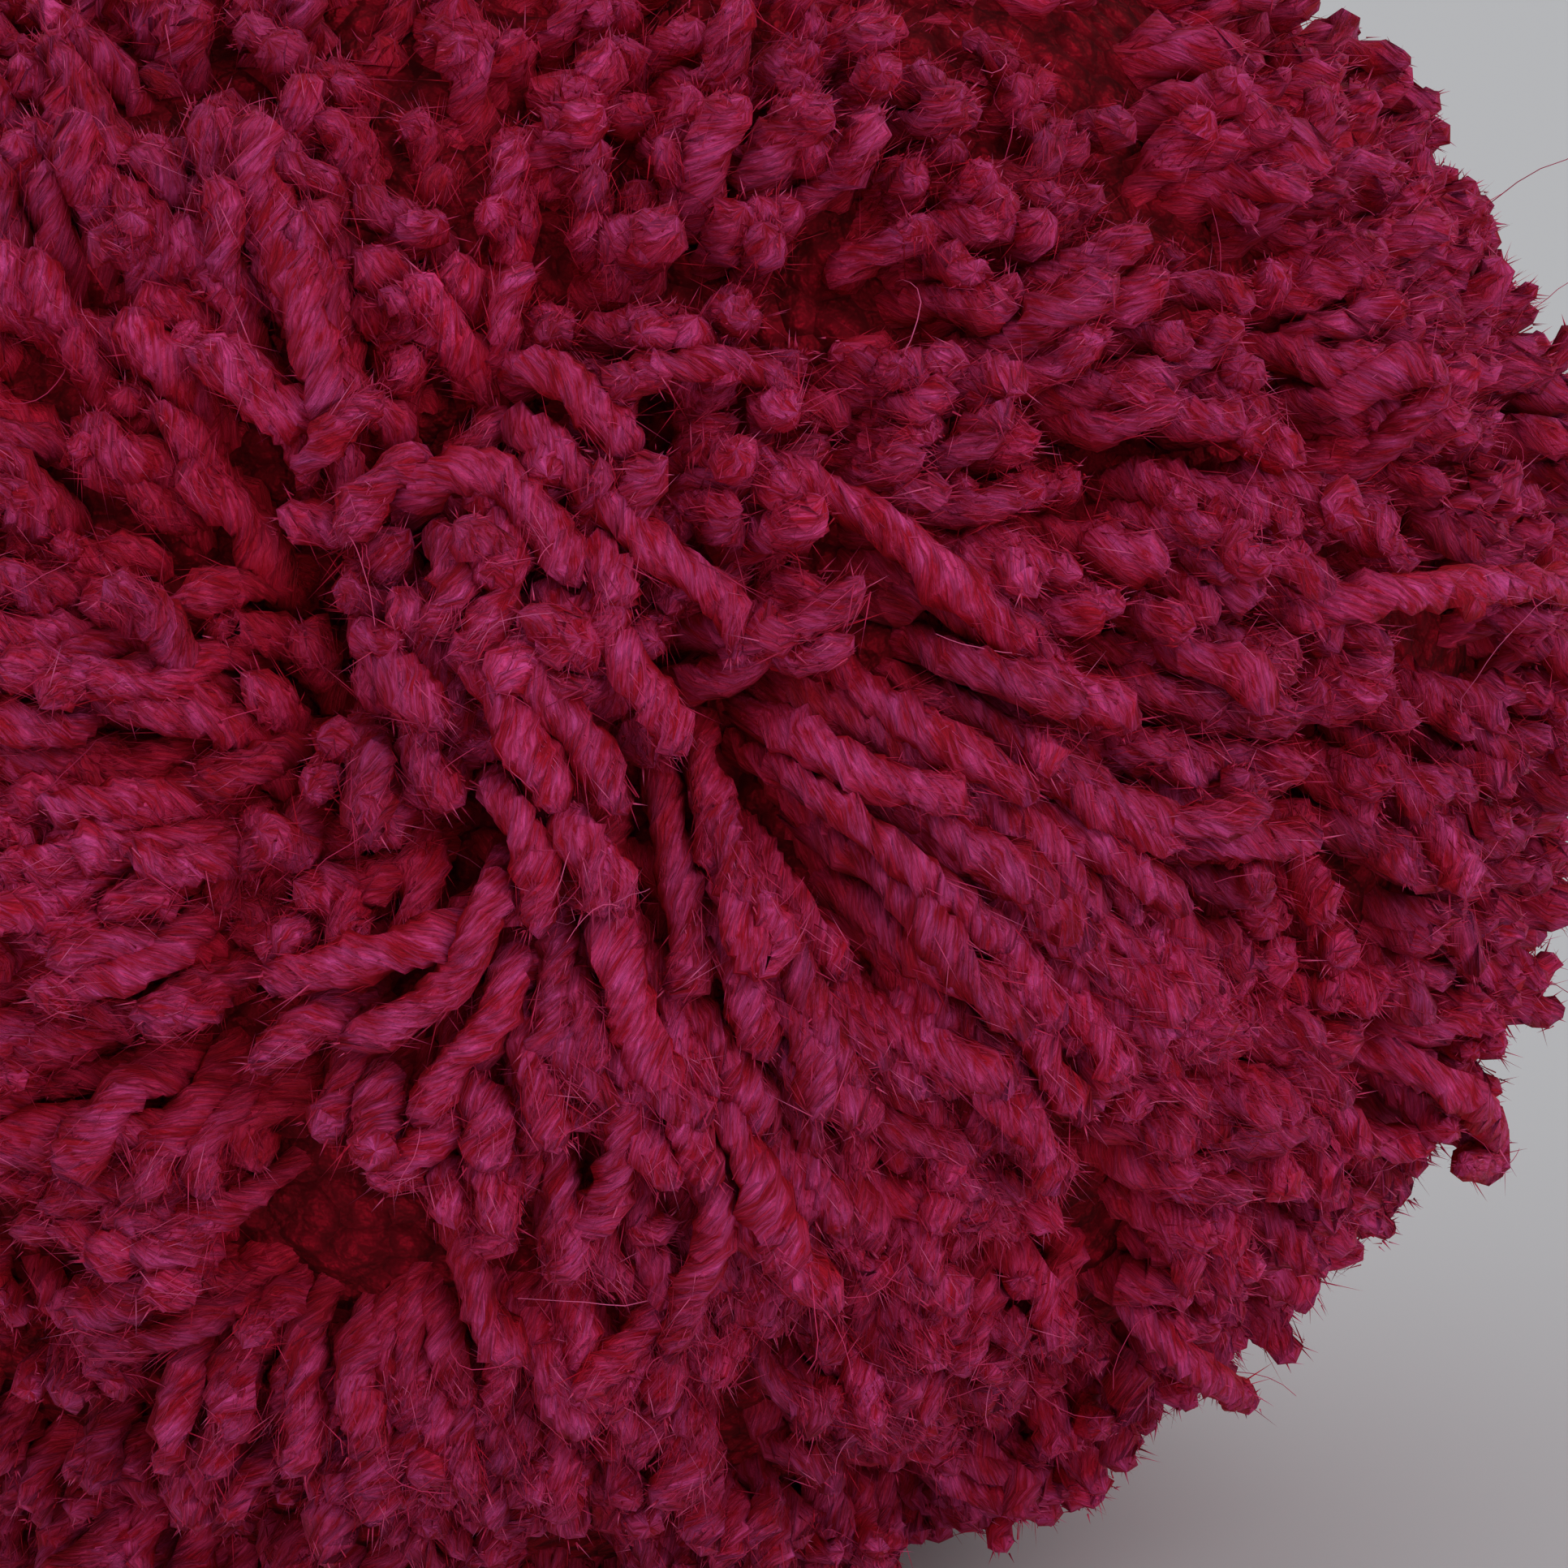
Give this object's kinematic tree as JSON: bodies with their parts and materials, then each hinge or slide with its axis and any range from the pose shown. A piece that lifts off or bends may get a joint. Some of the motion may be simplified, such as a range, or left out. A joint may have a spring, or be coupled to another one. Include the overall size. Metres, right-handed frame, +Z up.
{
  "type": "yarn pom pom",
  "caption": "Dense, slightly squashed ball of cut two-ply yarn, used as a soft trimming; it rests on a small level spot.",
  "frame": {"origin": "on the surface that the ball rests on, under the middle of the ball", "axes": "+Z up from the surface, +X to the right along the widest way across, -Y towards the side where the yarn parts"},
  "size_m": [0.0972, 0.0874, 0.082],
  "materials": {
    "yarn": "matte spun yarn with a short fuzz"
  },
  "bodies": {
    "root": {"yarn_pompom": "yarn"}
  },
  "joints": []
}
